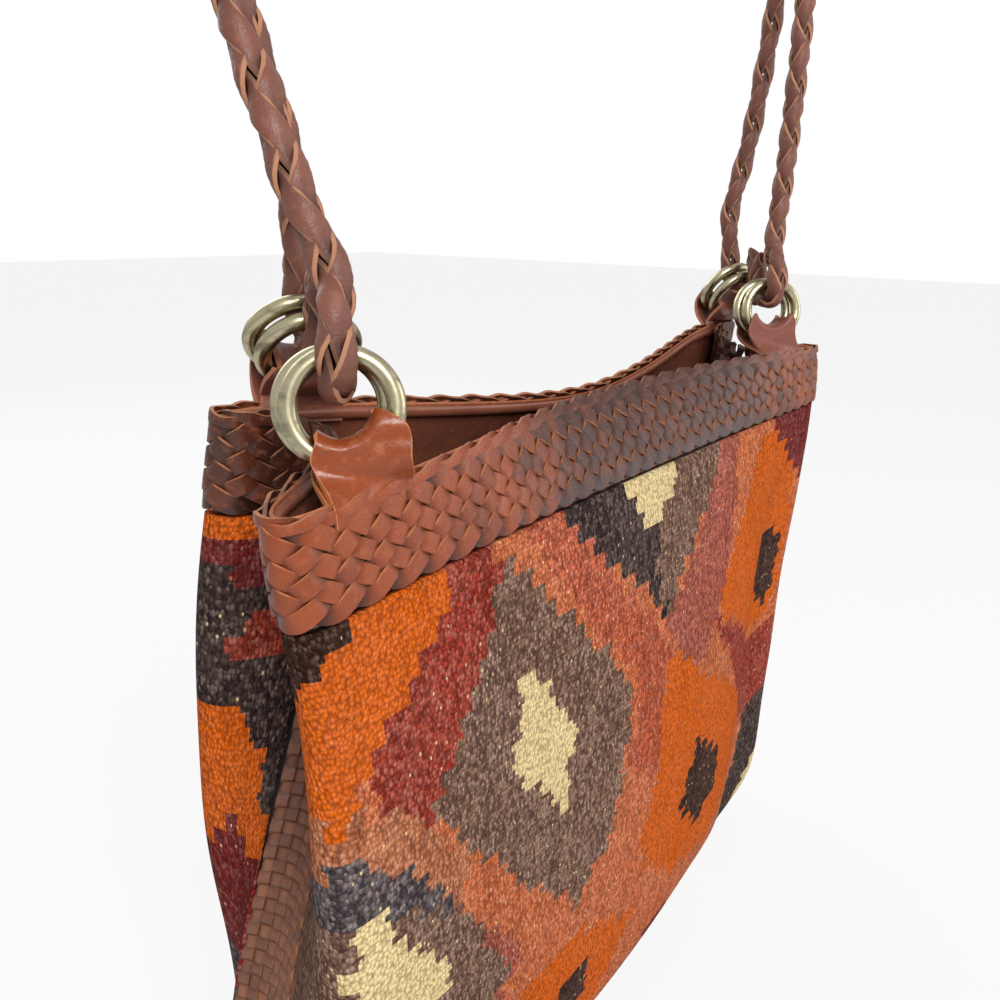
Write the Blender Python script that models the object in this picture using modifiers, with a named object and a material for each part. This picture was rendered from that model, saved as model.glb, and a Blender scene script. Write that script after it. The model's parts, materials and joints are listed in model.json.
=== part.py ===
"""A crossbody bag: kilim panels and a woven gusset strip under a plaited leather mouth band,
hung by two braided leather straps from pairs of metal O-rings in folded leather tabs.

Lengths are in metres. X runs along the bag, Y from front to back and Z up. The shape is written
with z = 0 at the foot of the mouth band, and ORIGIN, the top of the straps' arch, is then moved
to the world's origin, because the bag hangs from there.
"""

import math

import bmesh
import bpy
import numpy as np
from mathutils import Matrix, Vector

MM = 0.001
GAP = 0.3 * MM
SEAM = 0.9 * MM

# The bag
LENGTH = 337 * MM
HEIGHT = 248 * MM
BAND = 29 * MM
STRIP_WIDTH = 24 * MM
STRIP_MIDDLE = 4 * MM
PANEL_WALL = 2.5 * MM
STRIP_WALL = 2.5 * MM
LINING_WALL = 0.7 * MM
FACING_WALL = 1.0 * MM
BAND_PROUD = 0.9 * MM
BAND_SUNK = 1.0 * MM

# The plait of the band and the weave of the strip
PLAIT_ALONG = 11 * MM
PLAIT_ACROSS = 7 * MM
PLAIT_RELIEF = 0.5 * MM
WEAVE_RELIEF = 0.4 * MM

# Rings, tabs and straps
RING_INSIDE = 20 * MM
RING_WIRE = 4.6 * MM
RING_STEP = RING_WIRE + 0.7 * MM
RING_SIDE_SLIP = 2 * MM
TAB_WIDTH = 27 * MM
TAB_NECK = 22 * MM
TAB_FOLD = 15.5 * MM
TAB_WALL = 1.5 * MM
TAB_SLACK = 0.8 * MM
TAB_SEAT = 1.0 * MM
CORD = 9 * MM
STRAP_TOP = 515 * MM
STRAP_BACK = 18 * MM

ORIGIN = Vector((0, STRAP_BACK, STRAP_TOP - CORD / 2))
END = LENGTH / 2
RING_RADIUS = (RING_INSIDE + RING_WIRE) / 2

# One row for each level of the wall, in millimetres, from the crest to the bottom. down is a share
# of HEIGHT. strip holds how far the strip lies in from the left and right ends, and its chord.
# front and back each hold the left inset, the depth at the left, middle and right, the right
# inset, and the radii of the left and right corners. lifts raise the row at five stations.
LEVELS = [
    dict(down=-BAND / HEIGHT, strip=(26, 30, 14), front=(-12, -31, -9, -31, 0, 12, 15),
         back=(10, 24, 4, 19, 4, 11, 10), front_lifts=(-3, 1, -1, 1, -1), back_lifts=(11, 9, -6, 9, 8)),
    dict(down=-17 * MM / HEIGHT, strip=(30, 33, 15), front=(-12, -32, -20, -33, 0, 12, 15),
         back=(10, 28, 12, 22, 4, 12, 11), front_lifts=(-2, 1, -1, 1, 0), back_lifts=(11, 9, -4, 8, 6)),
    dict(down=0, strip=(34, 35, 16), front=(-11, -33, -31, -34, 0, 12, 15),
         back=(10, 34, 24, 27, 4, 14, 14), front_lifts=(-1, 2, 0, 0, 0), back_lifts=(12, 10, -2, 6, 5)),
    dict(down=0.15, strip=(31, 30, 18), front=(-6, -34, -38, -33, 1, 13, 20),
         back=(5, 40, 34, 29, 3, 15, 20), front_lifts=(0, 1, 0, 0, 0), back_lifts=(5, 4, 0, 3, 2)),
    dict(down=0.37, strip=(10, 12, 22), front=(-6, -38, -42, -31, 3, 13, 24),
         back=(4, 43, 41, 31, 5, 18, 24), front_lifts=(0,) * 5, back_lifts=(0,) * 5),
    dict(down=0.60, strip=(-9, -6, 24), front=(-8, -40, -43, -29, 3, 16, 22),
         back=(8, 44, 44, 30, 5, 28, 22), front_lifts=(0,) * 5, back_lifts=(0,) * 5),
    dict(down=0.83, strip=(-9, -8, 24), front=(-4, -38, -41, -29, 0, 22, 22),
         back=(8, 40, 41, 29, 2, 28, 22), front_lifts=(0,) * 5, back_lifts=(0,) * 5),
    dict(down=0.965, strip=(4, 4, 24), front=(4, -28, -31, -25, 3, 24, 26),
         back=(8, 28, 31, 25, 4, 28, 26), front_lifts=(0,) * 5, back_lifts=(0,) * 5),
]
BOTTOM_INSETS = np.array([9, 14, 19, 25, 33, 48]) * MM
BOTTOM_RISES = np.array([19, 13, 8, 4, 1, 0]) * MM

# Where the first ring of each pair hangs, in millimetres, its inset counted from that end of the
# bag and its rise from the band's top. heading is where its face looks, in degrees from the front
# towards the left, and lean is how far its top tips to the front.
RING_PAIRS = {
    "front_left": dict(end=-1, inset=14, depth=-22.7, rise=16.4, heading=43, lean=-12),
    "front_right": dict(end=1, inset=47, depth=-20.5, rise=19.4, heading=43, lean=-10),
    "back_left": dict(end=-1, inset=36, depth=13, rise=23.6, heading=25.5, lean=42),
    "back_right": dict(end=1, inset=22, depth=8.5, rise=23.2, heading=20, lean=36),
}

# The strap's end, seen along the rings' tops, in millimetres: how far in front of the two wires
# and how far above them. TURN is the bend round the wires, in degrees about the nearer one. The
# first loop comes down in front, and the second from behind.
FRONT_LOOP = dict(lead=[(5.2, 16), (8.7, 8.5)], turn=(15, -15, -45, -75, -105, -135, -165, -195),
                  tip=[(-8.7, 9), (-5.8, 15)])
BACK_LOOP = dict(lead=[(-27, 17), (-18, 6.5)], turn=(-165, -135, -105, -75, -45, -15, 15, 45),
                 tip=[(2.2, 8.2), (-4.5, 11)])

# The straps between their loops, in millimetres from the foot of the band, on a bag of this length.
ROUTES_DRAWN_FOR = 337 * MM
FRONT_ROUTE = [(-154, -10, 92), (-153.5, 0, 112), (-152, 11, 136), (-147, 20, 190), (-138, 22, 255),
               (-122, 20, 325), (-97, 17, 390), (-64, 14.5, 446), (-34, 13.2, 484), (-10, 13, 506.5),
               (18, 13, 511), (46, 12, 499.5), (74, 9, 473), (101, 3, 430), (120, -4, 376),
               (131, -10, 313), (135, -14, 244), (134, -16, 180), (130, -17, 118)]
BACK_ROUTE = [(-134.5, 21, 116), (-138.5, 30, 150), (-139.5, 36, 199), (-133, 37, 258), (-118, 34, 327),
              (-94, 29, 392), (-62, 25, 448), (-33, 23.3, 485), (-10, 23, 506.5), (18, 23, 511),
              (47, 22, 500.5), (77, 19, 475), (105, 15, 433), (126, 10, 379.5), (139, 6, 316),
              (146, 3, 248.5), (149, 3, 190), (150, 9, 130)]


def basis_weights(count, t):
    """How much each of count control points adds at t, on a clamped cubic B-spline."""
    t = np.clip(np.atleast_1d(np.asarray(t, float)), 0, 1 - 1e-9)[:, None]
    knots = np.concatenate([np.zeros(3), np.linspace(0, 1, count - 2), np.ones(3)])
    basis = ((knots[:-1] <= t) & (t < knots[1:])).astype(float)
    for degree in (1, 2, 3):
        n = len(knots) - 1 - degree
        rise = knots[degree:degree + n] - knots[:n]
        fall = knots[degree + 1:degree + 1 + n] - knots[1:1 + n]
        up = np.where(rise > 0, (t - knots[:n]) / np.where(rise > 0, rise, 1), 0)
        down = np.where(fall > 0, (knots[degree + 1:degree + 1 + n] - t) / np.where(fall > 0, fall, 1), 0)
        basis = up * basis[:, :n] + down * basis[:, 1:n + 1]
    return basis


def smooth(rows, steps):
    """Rows on a smooth curve through the given ones. steps gives how many a span takes."""
    rows = np.array([list(row) for row in rows], float)
    ends = np.concatenate([2 * rows[:1] - rows[1:2], rows, 2 * rows[-1:] - rows[-2:-1]])
    found = []
    for a, b, c, d in zip(ends, ends[1:], ends[2:], ends[3:]):
        count = steps(b, c)
        for t in np.arange(count) / count:
            found.append(0.5 * (2 * b + (c - a) * t + (2 * a - 5 * b + 4 * c - d) * t ** 2
                                + (3 * b - a - 3 * c + d) * t ** 3))
    return np.array(found + [rows[-1]])


def level_row(level, side):
    """The control points of one level of a wall, from the strip's left edge to its right edge."""
    out = -1 if side == "front" else 1
    left, y_left, y_middle, y_right, right, r_left, r_right = np.array(level[side]) * MM
    in_left, in_right, chord = np.array(level["strip"]) * MM
    edge = STRIP_MIDDLE + out * chord / 2
    x_left, x_right = -END + left, END - right
    strip_left, strip_right = -END + in_left, END - in_right
    least = out * edge + 2.5 * MM
    flat_left = out * max(out * y_left - r_left, least)
    flat_right = out * max(out * y_right - r_right, least)
    points = [
        (strip_left, edge),
        ((strip_left + x_left) / 2, (edge + flat_left) / 2),
        (x_left, flat_left),
        (x_left, y_left - 0.05 * out * r_left),
        (x_left + 0.95 * r_left, y_left),
        (x_left + 2.6 * r_left, y_left),
        (-0.31 * LENGTH, 0.75 * y_left + 0.25 * y_middle),
        (-0.18 * LENGTH, 0.2 * y_left + 0.8 * y_middle),
        (0, y_middle),
        (0.18 * LENGTH, 0.2 * y_right + 0.8 * y_middle),
        (0.31 * LENGTH, 0.75 * y_right + 0.25 * y_middle),
        (x_right - 2.6 * r_right, y_right),
        (x_right - 0.95 * r_right, y_right),
        (x_right, y_right - 0.05 * out * r_right),
        (x_right, flat_right),
        ((strip_right + x_right) / 2, (edge + flat_right) / 2),
        (strip_right, edge),
    ]
    stations = (-END, -END + 32 * MM, 0, END - 45 * MM, END)
    lifts = np.array(level[side + "_lifts"]) * MM
    z = -level["down"] * HEIGHT
    return [(x, y, z + np.interp(x, stations, lifts)) for x, y in points]


def control_net(side):
    out = -1 if side == "front" else 1
    net = np.array([level_row(level, side) for level in LEVELS])
    last = net[-1].copy()
    last[:, 1] = STRIP_MIDDLE + out * STRIP_WIDTH / 2
    last[:6, 0] = -END + BOTTOM_INSETS
    last[-6:, 0] = (END - BOTTOM_INSETS)[::-1]
    last[:, 2] = -HEIGHT
    for row in (last, net[-1]):
        row[:6, 2] += BOTTOM_RISES
        row[-6:, 2] += BOTTOM_RISES[::-1]
    return np.concatenate([net, last[None]])


def wall(side, along, down):
    """Points of the bag's outer surface, one row for each value of down."""
    net = control_net(side)
    return np.einsum("vj,ui,jik->vuk", basis_weights(net.shape[0], down),
                     basis_weights(net.shape[1], along), net)


def foot_of_band():
    """The share of the way down the wall at which the band ends, at the middle of the bag."""
    down = np.linspace(0, 1, 400)
    return float(np.interp(0, -wall("front", [0.5], down)[:, 0, 2], down))


def normals(grid, outward):
    """Unit vertex normals of a grid of points. outward is a direction that most of them share."""
    across = grid[1:, 1:] - grid[:-1, :-1]
    other = grid[:-1, 1:] - grid[1:, :-1]
    faces = np.cross(across, other)
    total = np.zeros_like(grid)
    for rows in (slice(None, -1), slice(1, None)):
        for columns in (slice(None, -1), slice(1, None)):
            total[rows, columns] += faces
    total /= np.linalg.norm(total, axis=2, keepdims=True)
    return total * np.sign(np.sum(total * outward))


def rim_path(grid):
    """A wall's edge along the strip: down its left end, under the bottom and up its right end."""
    return np.concatenate([grid[:, 0], grid[-1, 1:-1], grid[::-1, -1]])


def set_rim(grid, values):
    rows = len(grid)
    grid[:, 0] = values[:rows]
    grid[-1, 1:-1] = values[rows:-rows]
    grid[::-1, -1] = values[-rows:]


class Skin:
    """The bag's outer surface: the front and back walls, and the strip between their edges."""

    def __init__(self, columns=36, band_rows=5, rows=13, strip_columns=5):
        self.along = np.linspace(0, 1, columns)
        foot = foot_of_band()
        self.down = np.concatenate([np.linspace(0, foot, band_rows)[:-1], np.linspace(foot, 1, rows)])
        self.foot_row = band_rows - 1
        self.walls = {side: wall(side, self.along, self.down) for side in ("front", "back")}
        share = np.linspace(0, 1, strip_columns)[:, None, None]
        front, back = (rim_path(self.walls[side]) for side in ("front", "back"))
        self.strip = front * (1 - share) + back * share
        chord = np.linalg.norm(back - front, axis=1)
        fold = 0.45 * np.sqrt(np.maximum(STRIP_WIDTH ** 2 - chord ** 2, 0))
        inwards = -np.sign(front[:, 0])[:, None] * (1, 0, 0) * fold[:, None]
        self.strip += np.sin(math.pi * share) * inwards
        outward = {"front": (0, -1, 0), "back": (0, 1, 0)}
        self.normals = {side: normals(self.walls[side], outward[side]) for side in self.walls}
        self.strip_normals = normals(self.strip, (0, 0, -1))
        for side, edge in (("front", 0), ("back", -1)):
            flat = self.strip_normals[edge]
            bent = rim_path(self.normals[side])
            facing = 1 + np.sum(flat * bent, axis=1, keepdims=True)
            mitre = (flat + bent) / np.maximum(facing, 0.7)
            set_rim(self.normals[side], mitre)
            self.strip_normals[edge] = mitre


def set_back(grid, edges, distance):
    """The grid with the named edges drawn in along its own surface by distance."""
    grid = grid.copy()
    picks = {"top": (0, 1), "bottom": (-1, -2), "left": ((slice(None), 0), (slice(None), 1)),
             "right": ((slice(None), -1), (slice(None), -2))}
    for edge in edges:
        outer, inner = picks[edge]
        step = grid[inner] - grid[outer]
        grid[outer] += distance * step / np.linalg.norm(step, axis=-1, keepdims=True)
    return grid


def principled(name, colour, roughness, metallic=0.0):
    material = bpy.data.materials.new(name)
    material.use_nodes = True
    shader = material.node_tree.nodes["Principled BSDF"]
    shader.inputs["Base Color"].default_value = (*colour, 1)
    shader.inputs["Roughness"].default_value = roughness
    shader.inputs["Metallic"].default_value = metallic
    return material


def add_object(name, data, material, location=(0, 0, 0)):
    data.materials.append(material)
    obj = bpy.data.objects.new(name, data)
    obj.location = location
    bpy.data.collections["crossbody_bag"].objects.link(obj)
    return obj


def closed_sheet(name, outer, inner, material):
    """A closed solid between two grids of points of the same size."""
    bm = bmesh.new()
    layers = []
    for grid in (outer, inner):
        made = bmesh.ops.create_grid(bm, x_segments=grid.shape[1] - 1, y_segments=grid.shape[0] - 1, size=1)
        vertices = made["verts"]
        for vertex, point in zip(vertices, grid.reshape(-1, 3)):
            vertex.co = Vector(point) - ORIGIN
        layers.append(vertices)
    rim = [edge for edge in bm.edges if edge.is_boundary]
    bmesh.ops.bridge_loops(bm, edges=rim)
    bmesh.ops.recalc_face_normals(bm, faces=bm.faces)
    mesh = bpy.data.meshes.new(name)
    bm.to_mesh(mesh)
    bm.free()
    return add_object(name, mesh, material)


def band_relief(grid):
    """How far the band's plait stands out at each point: crossing diagonal strands."""
    along = np.zeros(grid.shape[:2])
    along[:, 1:] = np.cumsum(np.linalg.norm(np.diff(grid, axis=1), axis=2), axis=1)
    across = np.linspace(0, BAND, grid.shape[0])[:, None]
    right = np.cos(2 * math.pi * (along / PLAIT_ALONG + across / PLAIT_ACROSS))
    left = np.cos(2 * math.pi * (along / PLAIT_ALONG - across / PLAIT_ACROSS))
    return PLAIT_RELIEF * np.maximum(right, left)


def make_panels(skin):
    kilim = principled("kilim", (0.42, 0.16, 0.10), 0.9)
    edges = ("top", "left", "right", "bottom")
    for side in ("front", "back"):
        surface, normal = skin.walls[side][skin.foot_row:], skin.normals[side][skin.foot_row:]
        outer = set_back(surface, edges, SEAM / 2)
        inner = set_back(surface - PANEL_WALL * normal, edges, SEAM / 2)
        closed_sheet(side + "_panel", outer, inner, kilim)


def make_bands(skin):
    """The plaited band round the mouth and the leather that faces its inside."""
    leather = principled("plaited_leather", (0.25, 0.09, 0.05), 0.45)
    facing_leather = principled("facing_leather", (0.20, 0.08, 0.05), 0.4)
    edges = ("left", "right", "bottom")
    rows = skin.foot_row + 1
    for side in ("front", "back"):
        surface = wall(side, np.linspace(0, 1, 90), skin.down[:rows])
        normal = normals(surface, (0, -1 if side == "front" else 1, 0))
        normal[:, 0] = skin.normals[side][:rows, 0]
        normal[:, -1] = skin.normals[side][:rows, -1]
        relief = band_relief(surface)[..., None]
        outer = set_back(surface + (BAND_PROUD + relief) * normal, edges, SEAM / 2)
        inner = set_back(surface - BAND_SUNK * normal, edges, SEAM / 2)
        closed_sheet(side + "_band", outer, inner, leather)
        face = BAND_SUNK + 1.5 * GAP
        outer = set_back(surface - face * normal, edges, SEAM / 2)
        inner = set_back(surface - (face + FACING_WALL) * normal, edges, SEAM / 2)
        closed_sheet(side + "_facing", outer, inner, facing_leather)


def make_strip(skin):
    woven = principled("woven_strip", (0.20, 0.10, 0.07), 0.6)
    grid, normal = skin.strip, skin.strip_normals
    across, along = np.indices(grid.shape[:2])
    relief = WEAVE_RELIEF * (-1.0) ** (across + along)
    relief[[0, -1]] = 0
    edges = ("top", "bottom")
    outer = set_back(grid + relief[..., None] * normal, edges, SEAM)
    inner = set_back(grid - STRIP_WALL * normal, edges, SEAM)
    closed_sheet("gusset_strip", outer, inner, woven)


def make_lining(skin):
    """A thin open sack that follows the inside of both panels and of the strip."""
    cloth = principled("lining_cloth", (0.05, 0.04, 0.04), 0.9)
    depth = PANEL_WALL + 2.5 * GAP
    bm = bmesh.new()
    top = skin.foot_row
    grids = [(set_back(skin.walls[side][top:], ("top",), GAP), skin.normals[side][top:])
             for side in ("front", "back")]
    grids.append((set_back(skin.strip[:, top:-top], ("left", "right"), GAP), skin.strip_normals[:, top:-top]))
    for surface, normal in grids:
        made = bmesh.ops.create_grid(bm, x_segments=surface.shape[1] - 1, y_segments=surface.shape[0] - 1, size=1)
        for vertex, point in zip(made["verts"], (surface - depth * normal).reshape(-1, 3)):
            vertex.co = Vector(point) - ORIGIN
    bmesh.ops.remove_doubles(bm, verts=bm.verts, dist=0.35 * MM)
    bmesh.ops.recalc_face_normals(bm, faces=bm.faces)
    mesh = bpy.data.meshes.new("lining")
    bm.to_mesh(mesh)
    bm.free()
    sack = add_object("lining", mesh, cloth)
    thick = sack.modifiers.new("wall", "SOLIDIFY")
    thick.thickness = LINING_WALL
    thick.offset = -1


def ring_frame(pair):
    """The pair's own directions: across its face, its normal out of the front and up its face."""
    heading, lean = math.radians(pair["heading"]), math.radians(pair["lean"])
    front = Vector((-math.sin(heading), -math.cos(heading), 0))
    across = Vector((math.cos(heading), -math.sin(heading), 0))
    up = front * math.sin(lean) + Vector((0, 0, math.cos(lean)))
    return across, across.cross(up), up


def ring_centres(pair):
    across, out, up = ring_frame(pair)
    inset, depth, rise = (pair[key] * MM for key in ("inset", "depth", "rise"))
    first = Vector((pair["end"] * (END - inset), depth, BAND + rise))
    return first, first - out * RING_STEP - across * RING_SIDE_SLIP + up * 0.6 * MM


def make_rings():
    metal = principled("antique_nickel", (0.62, 0.60, 0.50), 0.3, 1.0)
    for name, pair in RING_PAIRS.items():
        across, out, up = ring_frame(pair)
        turn = Matrix((across, up, out)).transposed()
        for centre, which in zip(ring_centres(pair), ("outer", "inner")):
            bpy.ops.mesh.primitive_torus_add(major_segments=24, minor_segments=8,
                                             major_radius=RING_RADIUS, minor_radius=RING_WIRE / 2)
            ring = bpy.context.object
            ring.name = ring.data.name = f"{name}_{which}_ring"
            ring.data.materials.append(metal)
            ring.matrix_world = Matrix.Translation(centre - ORIGIN) @ turn.to_4x4()
            for collection in list(ring.users_collection):
                collection.objects.unlink(ring)
            bpy.data.collections["crossbody_bag"].objects.link(ring)


def crest_at(side, x):
    """The middle of the crest's thickness at each x, and the level direction out of the bag there."""
    crest = wall(side, np.linspace(0, 1, 400), [0])[0]
    crest = crest[crest[:, 0].argmin():crest[:, 0].argmax()]
    points = np.stack([np.interp(x, crest[:, 0], crest[:, k]) for k in range(3)], axis=-1)
    ahead = np.stack([np.interp(x + 4 * MM, crest[:, 0], crest[:, k]) for k in range(3)], axis=-1)
    run = (ahead - points) * (1, 1, 0)
    run /= np.linalg.norm(run, axis=-1, keepdims=True)
    out = np.stack([run[..., 1], -run[..., 0], 0 * x], axis=-1) * (1 if side == "front" else -1)
    middle = (BAND_PROUD + PLAIT_RELIEF - BAND_SUNK - GAP - FACING_WALL) / 2
    return points + out * middle, out


def make_tab(name, pair, material):
    """A leather strip folded over the foot of the two rings, both legs ending on the crest."""
    side = name.split("_")[0]
    across, ring_out, up = (np.array(axis) for axis in ring_frame(pair))
    first, second = ring_centres(pair)
    seat = np.array((first + second) / 2) - up * (RING_RADIUS + RING_WIRE / 2)
    if side == "back":
        ring_out = -ring_out
    half = RING_STEP / 2 + RING_WIRE / 2 + GAP + TAB_WALL / 2
    pinch = (TAB_WALL + GAP) / 2
    reach = (TAB_FOLD + RING_SIDE_SLIP) / 2
    hole = math.sqrt((RING_INSIDE / 2) ** 2 - reach ** 2)
    crown = RING_RADIUS + RING_WIRE / 2 - hole + TAB_WALL / 2 + TAB_SLACK
    # Each row: distance out from the middle, height over the rings' foot, width, share turned to
    # the rings. The first row stands on the crest.
    outer_leg = [(pinch, 0, TAB_WIDTH, 0), (0.75 * half, -0.04 * crown, TAB_WIDTH - 1.5 * MM, 0.75),
                 (1.02 * half, 0.2 * crown, TAB_NECK, 1), (1.02 * half, 0.55 * crown, TAB_NECK, 1),
                 (half, 0.85 * crown, TAB_FOLD + 2 * MM, 1), (0.62 * half, crown, TAB_FOLD, 1),
                 (0.2 * half, 1.04 * crown, TAB_FOLD, 1)]
    route = np.array(outer_leg + [(-out, *rest) for out, *rest in outer_leg[::-1]])
    shares = np.linspace(-0.5, 0.5, 5)
    grid = []
    for out, height, width, turned in smooth(route, lambda a, b: 2):
        foot, crest_out = crest_at(side, seat[0] + width * shares)
        low = foot + crest_out * out + np.array([0, 0, TAB_SEAT])
        high = seat + ring_out * out + up * height + across * (width * shares)[:, None]
        grid.append(low + (high - low) * turned)
    grid = np.array(grid)
    normal = normals(grid, (0, 0, 1))
    legs = grid - grid.mean(axis=(0, 1))
    if np.sum(normal * legs) < 0:
        normal = -normal
    closed_sheet(f"{name}_tab", grid + normal * TAB_WALL / 2, grid - normal * TAB_WALL / 2, material)


def make_tabs():
    leather = principled("tab_leather", (0.46, 0.16, 0.06), 0.4)
    for name, pair in RING_PAIRS.items():
        make_tab(name, pair, leather)


def loop_points(pair, loop):
    """The strap's end round the tops of a pair of rings, from the strap to the tip."""
    across, out, up = ring_frame(pair)
    first, second = ring_centres(pair)
    tops = (first + second) / 2 + up * RING_RADIUS
    bend = ((RING_WIRE + CORD) / 2 + GAP) / math.cos(math.radians(15))
    turn = []
    for angle in loop["turn"]:
        wire = RING_STEP / 2 if math.cos(math.radians(angle)) > 0 else -RING_STEP / 2
        turn.append((wire + bend * math.cos(math.radians(angle)), bend * math.sin(math.radians(angle))))
    lead, tip = ([(ahead * MM, above * MM) for ahead, above in loop[end]] for end in ("lead", "tip"))
    return [tops + out * ahead + up * above for ahead, above in lead + turn + tip]


def strap_route(side, loop, route):
    left = loop_points(RING_PAIRS[side + "_left"], loop)
    right = loop_points(RING_PAIRS[side + "_right"], loop)
    stretch = LENGTH / ROUTES_DRAWN_FOR
    middle = [Vector((x * stretch, y, z)) * MM for x, y, z in route]
    return left[::-1] + middle + right


def make_strap(name, points, material):
    points = smooth(points, lambda a, b: math.ceil(np.linalg.norm(b - a) / (2.6 * CORD)))
    length = np.linalg.norm(np.diff(points, axis=0), axis=1).sum()
    print(f"{name}: {len(points)} points, {length:.3f} m")
    curve = bpy.data.curves.new(name, "CURVE")
    curve.dimensions = "3D"
    curve.bevel_depth = CORD / 2
    curve.bevel_resolution = 2
    curve.use_fill_caps = True
    spline = curve.splines.new("POLY")
    spline.points.add(len(points) - 1)
    for spot, point in zip(spline.points, points):
        spot.co = (*(Vector(point) - ORIGIN), 1)
    return add_object(name, curve, material)


def make_straps():
    leather = principled("braided_leather", (0.22, 0.09, 0.06), 0.5)
    make_strap("front_strap", strap_route("front", FRONT_LOOP, FRONT_ROUTE), leather)
    make_strap("back_strap", strap_route("back", BACK_LOOP, BACK_ROUTE), leather)


for old in list(bpy.data.objects):
    bpy.data.objects.remove(old)
bag = bpy.data.collections.new("crossbody_bag")
bpy.context.scene.collection.children.link(bag)
bag_skin = Skin()
make_panels(bag_skin)
make_bands(bag_skin)
make_strip(bag_skin)
make_lining(bag_skin)
make_rings()
make_tabs()
make_straps()
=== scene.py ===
"""The looks of a crossbody bag: kilim panels, a woven leather gusset strip, a plaited leather band
round the mouth, and two braided leather straps that hang it from pairs of metal O-rings.

Lengths are in metres. Routes and outlines are in millimetres from the foot of the mouth band, where
the bag's middle is x = 0, and ORIGIN, the top of the straps' arch, is the world's origin.
"""

import json
import math

import bmesh
import bpy
import numpy as np
from mathutils import Matrix, Vector

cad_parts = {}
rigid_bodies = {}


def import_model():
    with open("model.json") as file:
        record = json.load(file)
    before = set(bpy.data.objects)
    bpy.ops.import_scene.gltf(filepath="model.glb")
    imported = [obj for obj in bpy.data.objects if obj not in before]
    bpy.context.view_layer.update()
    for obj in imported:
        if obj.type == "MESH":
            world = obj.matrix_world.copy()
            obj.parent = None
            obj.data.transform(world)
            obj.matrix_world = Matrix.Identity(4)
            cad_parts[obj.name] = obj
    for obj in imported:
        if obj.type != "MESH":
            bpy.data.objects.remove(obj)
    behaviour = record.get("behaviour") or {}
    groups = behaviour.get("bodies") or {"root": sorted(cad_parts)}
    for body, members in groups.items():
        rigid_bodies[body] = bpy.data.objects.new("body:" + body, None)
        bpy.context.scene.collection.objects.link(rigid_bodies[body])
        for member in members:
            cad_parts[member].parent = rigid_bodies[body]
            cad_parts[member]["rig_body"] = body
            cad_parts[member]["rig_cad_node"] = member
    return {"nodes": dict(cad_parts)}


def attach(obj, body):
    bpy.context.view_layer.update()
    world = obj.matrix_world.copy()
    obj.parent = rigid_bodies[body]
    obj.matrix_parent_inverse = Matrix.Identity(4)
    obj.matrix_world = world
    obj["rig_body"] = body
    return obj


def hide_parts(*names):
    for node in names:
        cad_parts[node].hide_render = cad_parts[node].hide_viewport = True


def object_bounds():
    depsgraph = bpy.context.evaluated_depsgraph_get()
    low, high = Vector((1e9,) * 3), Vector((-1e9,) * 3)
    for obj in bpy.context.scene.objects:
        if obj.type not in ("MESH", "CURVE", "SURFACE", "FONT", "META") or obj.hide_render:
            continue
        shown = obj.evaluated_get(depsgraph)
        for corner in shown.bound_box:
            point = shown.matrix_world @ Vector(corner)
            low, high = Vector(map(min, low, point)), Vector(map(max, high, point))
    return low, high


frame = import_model()
cad_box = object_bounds()

# View
# The bag is seen from close to its left end and a little above its mouth, through a wide lens,
# so that the left rings look large and the front falls away to the right.
VIEW_RIGHT = Vector((0.59778, -0.80146, 0.01780))
VIEW_UP = Vector((0.23562, 0.19689, 0.95169))
VIEW_PLACE = Vector((-0.2916, -0.1868, -0.4230))
LENS = 31.6

camera = bpy.data.objects.new("camera", bpy.data.cameras.new("camera"))
camera.data.lens = LENS
camera.data.sensor_width = 36
camera.data.clip_start = 0.01
axes = Matrix((VIEW_RIGHT, VIEW_UP, VIEW_RIGHT.cross(VIEW_UP))).transposed().to_4x4()
camera.matrix_world = Matrix.Translation(VIEW_PLACE) @ axes
bpy.context.scene.collection.objects.link(camera)
bpy.context.scene.camera = camera

# Straps
# Each strap is a round braid of four flat leather strands, about 9 mm through. Its ends pass round
# the tops of a pair of rings and are plaited back into it. The strands' cut edges are raw and pale.
MM = 0.001
ORIGIN = Vector((0, 0.018, 0.5105))
LENGTH = 337 * MM
END = LENGTH / 2
CORD = 9 * MM
GAP = 0.3 * MM
BAND_HIGH = 29
BAND = BAND_HIGH * MM
RING_INSIDE = 20 * MM
RING_WIRE = 4.6 * MM
RING_STEP = RING_WIRE + 0.7 * MM
RING_SIDE_SLIP = 2 * MM
RING_LIFT = 0.6 * MM
RING_RADIUS = (RING_INSIDE + RING_WIRE) / 2
BRAID_PITCH = 43 * MM
BRAID_RADIUS = 2.55 * MM
BRAID_SWING = 0.95 * MM
BRAID_CROWN = 1.2 * MM
BRAID_TAPER = 9 * MM
BRAID_SPACING = 1.4 * MM
STRAND_WIDE = 6.4 * MM
STRAND_THICK = 1.5 * MM
TURN_STEP = 30
FRONT_STRAP_LENGTH = 1.108
BACK_STRAP_LENGTH = 1.089

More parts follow.
